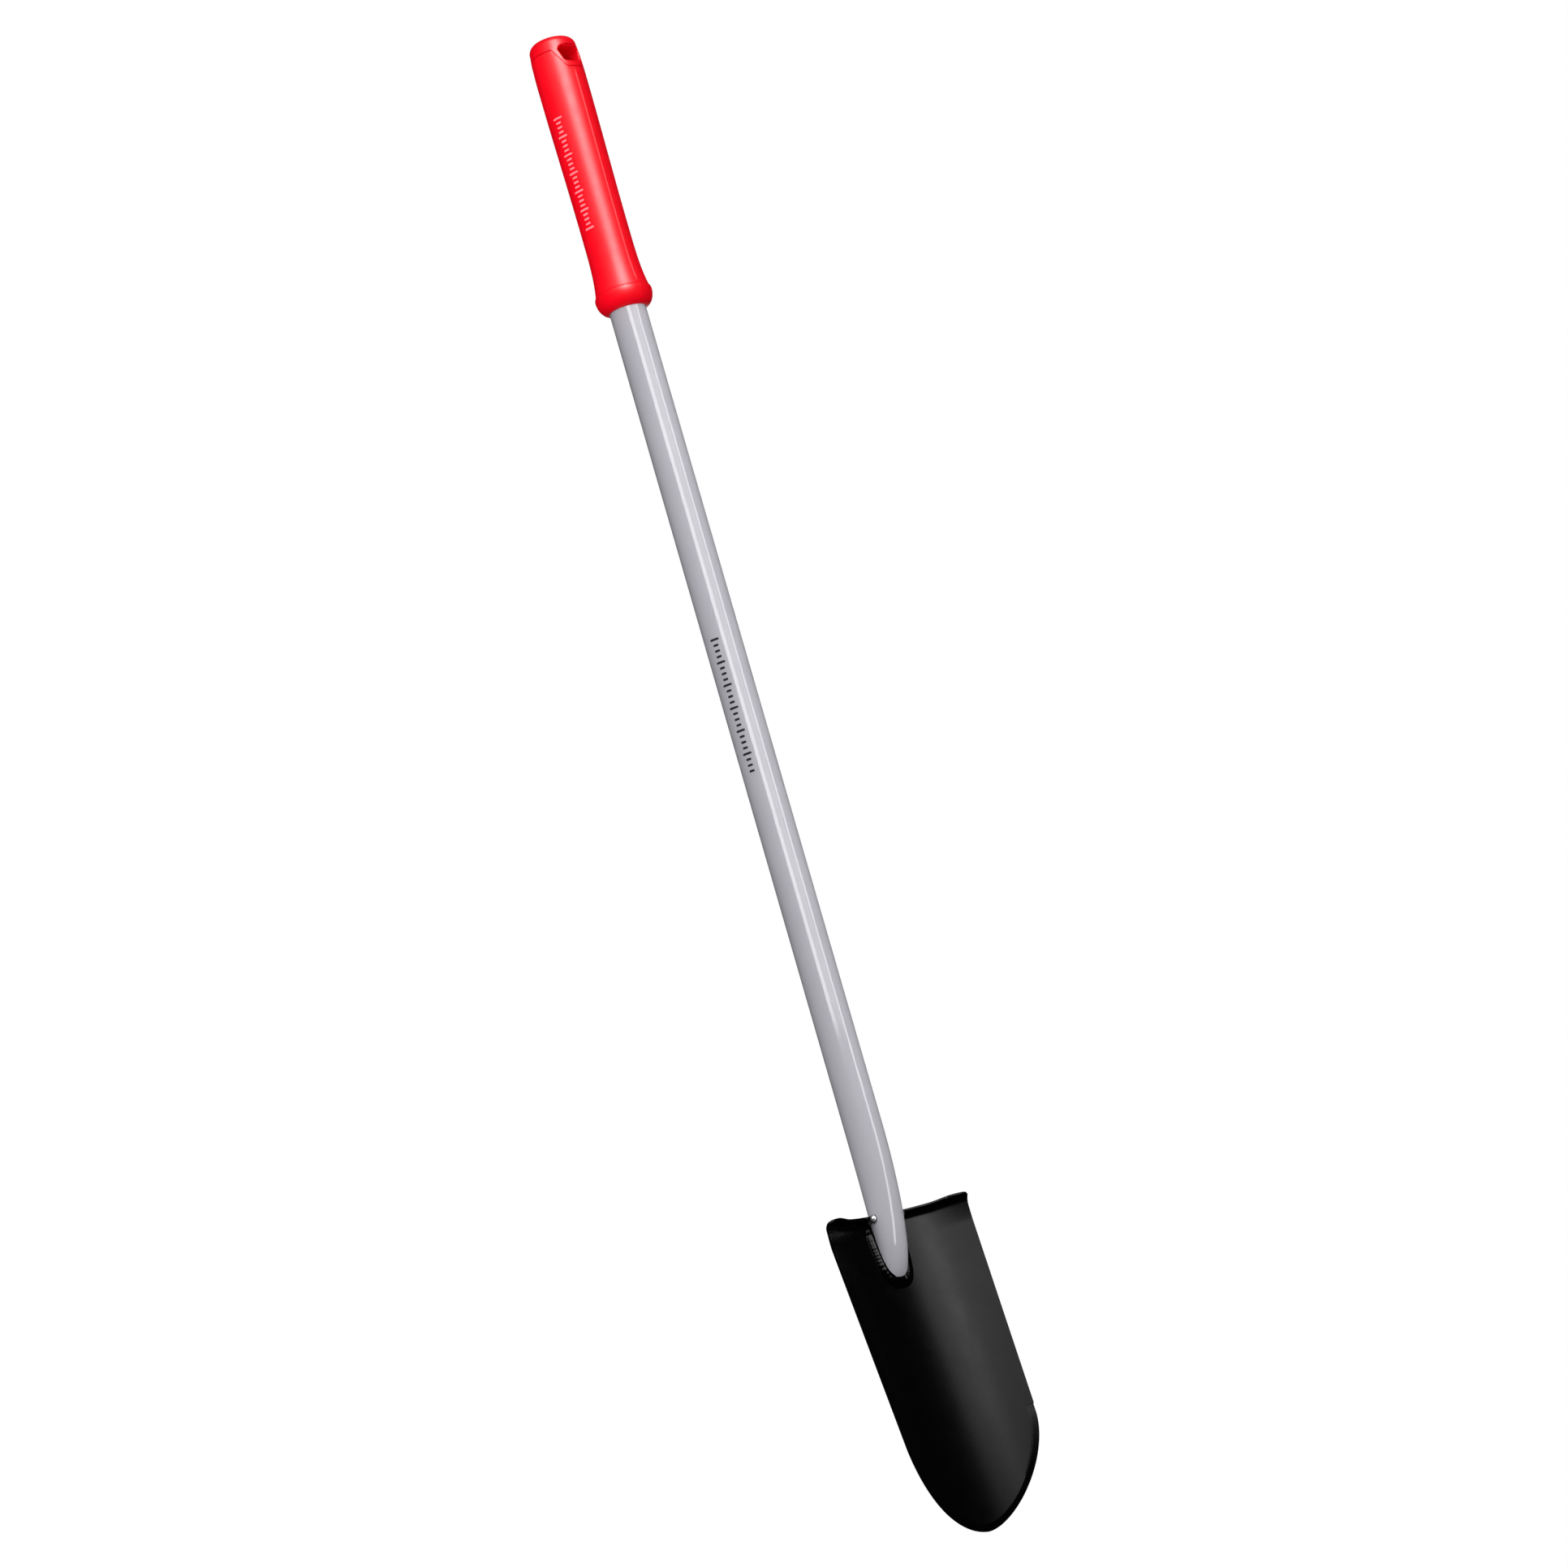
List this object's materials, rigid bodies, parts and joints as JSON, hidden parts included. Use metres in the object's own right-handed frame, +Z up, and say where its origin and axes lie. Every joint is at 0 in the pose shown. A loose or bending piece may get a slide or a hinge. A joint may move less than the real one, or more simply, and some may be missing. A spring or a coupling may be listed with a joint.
{
  "type": "round point shovel",
  "caption": "Long-handled garden shovel: channelled round point steel blade welded to a straight tube handle with a soft straight grip and a hang slot.",
  "frame": {"origin": "middle of the hang slot in the grip's end cap, on the handle's axis", "axes": "+Z up the handle towards the grip's end, +Y out of the blade's back along the hang slot, so the blade's hollow faces -Y"},
  "size_m": [0.1414, 0.04, 1.0435],
  "materials": {
    "cap_plastic": "semi-gloss hard plastic, deep red",
    "grip_rubber": "smooth soft rubber, satin, red",
    "gel": "soft clear gel, hidden",
    "tube_paint": "satin silver-grey paint on steel",
    "blade_coat": "satin black powder coat on pressed steel",
    "weld_coat": "gloss black coat over a weld",
    "weld_silver": "silver paint over a weld"
  },
  "bodies": {
    "root": {"grip_core": "cap_plastic", "gel_sleeve": "grip_rubber", "gel_pad": "gel", "handle_tube": "tube_paint", "blade": "blade_coat", "toe_weld": "weld_coat", "collar_weld": "weld_silver"}
  },
  "joints": []
}
